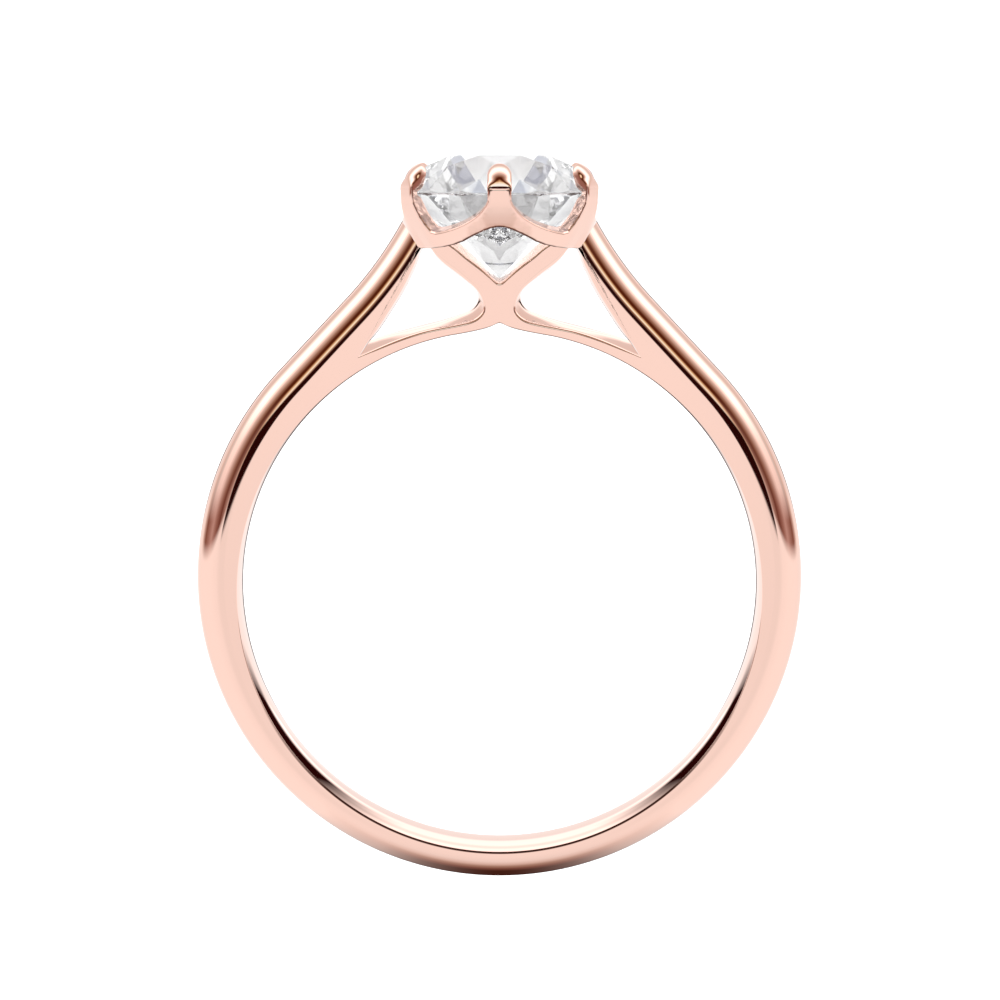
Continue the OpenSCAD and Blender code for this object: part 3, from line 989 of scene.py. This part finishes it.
# %% [markdown]
# The strips fade into each other by heading. Then the cards are hung: a dark streak far back on both
# sides, which the wall of the finger hole shows at its front edge, a dark card on each side of the
# camera, which draws the dark line beside the flat faces, and a small bright window over it.

# %% Cards in the room
to_beside = curve(heading, [(-1.0, 0.0), (-0.12, 0.0), (-0.06, 1.0), (1.0, 1.0)])
to_above = curve(heading, [(-1.0, 0.0), (0.02, 0.0), (0.14, 0.4), (0.32, 0.6), (0.48, 1.0), (1.0, 1.0)])
to_under = curve(heading, [(-1.0, 1.0), (-0.98, 0.85), (-0.94, 0.4), (-0.86, 0.0), (1.0, 0.0)])
seen = blend(to_under, below, under)
seen = blend(to_beside, seen, beside)
seen = blend(to_above, seen, above)
side_band = curve(heading, [(-1.0, 0.0), (-0.28, 0.0), (-0.02, 1.0), (0.50, 1.0), (0.85, 0.12), (1.0, 0.1)])
back_band = curve(along_z, [
    (-1.0, 0.0), (-0.952, 0.0), (-0.932, 1.0), (-0.86, 1.0), (-0.83, 0.0), (1.0, 0.0),
])
seen = blend(number("MULTIPLY", side_band, back_band), seen, (*shows(38, 4, 2), 1))


aside = number("ABSOLUTE", dot_with(direction, bench_x))


def card(seen, across, upward, colour):
    """Hangs a soft-edged card in the room: its reach sideways and upward, and the colour it shows."""
    (left, right), (low, high) = across, upward
    soft = 0.03
    wide = curve(aside, [(left - soft, 0.0), (left, 1.0), (right, 1.0), (right + soft, 0.0)])
    tall = curve(along_y, [(low - soft, 0.0), (low, 1.0), (high, 1.0), (high + soft, 0.0)])
    front = curve(along_z, [(0.3, 0.0), (0.4, 1.0)])
    share = number("MULTIPLY", number("MULTIPLY", wide, tall), front)
    return blend(share, seen, (*shows(*colour), 1))


seen = card(seen, (0.17, 0.50), (-0.085, 0.12), (38, 5, 2))
seen = card(seen, (-0.03, 0.12), (0.20, 0.40), (255, 240, 226))
print("cards hung:", len(tree.nodes), "nodes")

# %% [markdown]
# The stone breaks the room into small pieces. A room of clear greys with narrow dark stripes both ways
# gives it crisp spots, so rays that come out of the stone see that room. The floor is lit evenly, and
# the camera sees plain white behind the ring.

# %% Light in the stone, and the sky
bright_grey = 0.48
darker_greys = (0.26, 0.04, 0.34)
stripes = []
for step in range(21):
    stripes.append((-1.0 + 0.1 * step, bright_grey if step % 2 else darker_greys[step // 2 % 3]))
in_stone = curve(along_z, stripes)
spot_w = 0.024         # half the width of a dark stripe
spot_shares = (1.0, 0.6, 1.0)
spots = [(0.0, 0.0), (0.05, 0.0)]
for step in range(9):
    middle = 0.10 + 0.105 * step
    spots += [(middle - spot_w, 0.0), (middle, spot_shares[step % 3]), (middle + spot_w, 0.0)]
dark_spots = curve(aside, spots)
blue_black = (0.04, 0.055, 0.12, 1)
in_stone = blend(dark_spots, in_stone, blue_black)
rays = value_node("ShaderNodeLightPath")
seen = blend(rays.outputs["Is Transmission Ray"], seen, in_stone)
even_light = number("MAXIMUM", rays.outputs["Is Camera Ray"], rays.outputs["Is Diffuse Ray"])
plain = blend(even_light, seen, (0.5, 0.5, 0.5, 1))
sky = value_node("ShaderNodeBackground")
feed(sky.inputs["Color"], plain)
feed(sky.inputs["Strength"], room_strength)
end = value_node("ShaderNodeOutputWorld")
feed(end.inputs["Surface"], sky.outputs["Background"])
print("sky:", len(tree.nodes), "nodes")

# %% [markdown]
# One large soft lamp from above keeps the floor white. It isn't seen in the metal or the stone. The
# stone needs many bounces, because some light turns round in it more than twenty times.

# %% Lamp and bounces
nothing_selected()
bpy.ops.object.light_add(type="SUN", location=(0, 0, 0.1))
fill = bpy.context.object
fill.name = "fill"
fill.data.energy = 2.4
fill.data.angle = math.radians(120)
fill.visible_glossy = False
fill.visible_transmission = False
bpy.context.scene.view_settings.view_transform = "Standard"
bounces = 32
bpy.context.scene.cycles.max_bounces = bounces
bpy.context.scene.cycles.transmission_bounces = bounces
bpy.context.scene.cycles.glossy_bounces = bounces
print("lamp:", fill.data.energy, "W/m2")

# %% [markdown]
# The camera looks at the ring's front from just above the level of the stone, 76 mm from the middle of
# the band. The photograph doesn't narrow toward the foot, as a view camera's picture doesn't, so the
# camera looks only a little down and its lens is shifted for the rest.

# %% Camera
eye_bench = Vector((0, 14.526, 75.834))   # place of the eye over the bench, mm
eye = to_rest @ eye_bench
look = (to_rest.to_3x3() @ Vector((0, 0, -1))).normalized()
up = (to_rest.to_3x3() @ Vector((0, 1, 0))).normalized()
right = look.cross(up).normalized()
pitch = math.radians(2.52)                # how far the camera looks down
aim = look * math.cos(pitch) - up * math.sin(pitch)
top = up * math.cos(pitch) + look * math.sin(pitch)
bpy.ops.object.camera_add(location=eye)
camera = bpy.context.object
camera.matrix_world = Matrix((
    (right.x, top.x, -aim.x, eye.x),
    (right.y, top.y, -aim.y, eye.y),
    (right.z, top.z, -aim.z, eye.z),
    (0, 0, 0, 1),
))
sensor_w = 36
camera.data.sensor_width = sensor_w
camera.data.lens = 2.3045 * sensor_w
camera.data.shift_y = -0.25
camera.data.shift_x = 0.0005
camera.data.clip_start = 0.001
bpy.context.scene.camera = camera
print("lens", round(camera.data.lens, 2), "shift", round(camera.data.shift_y, 4))
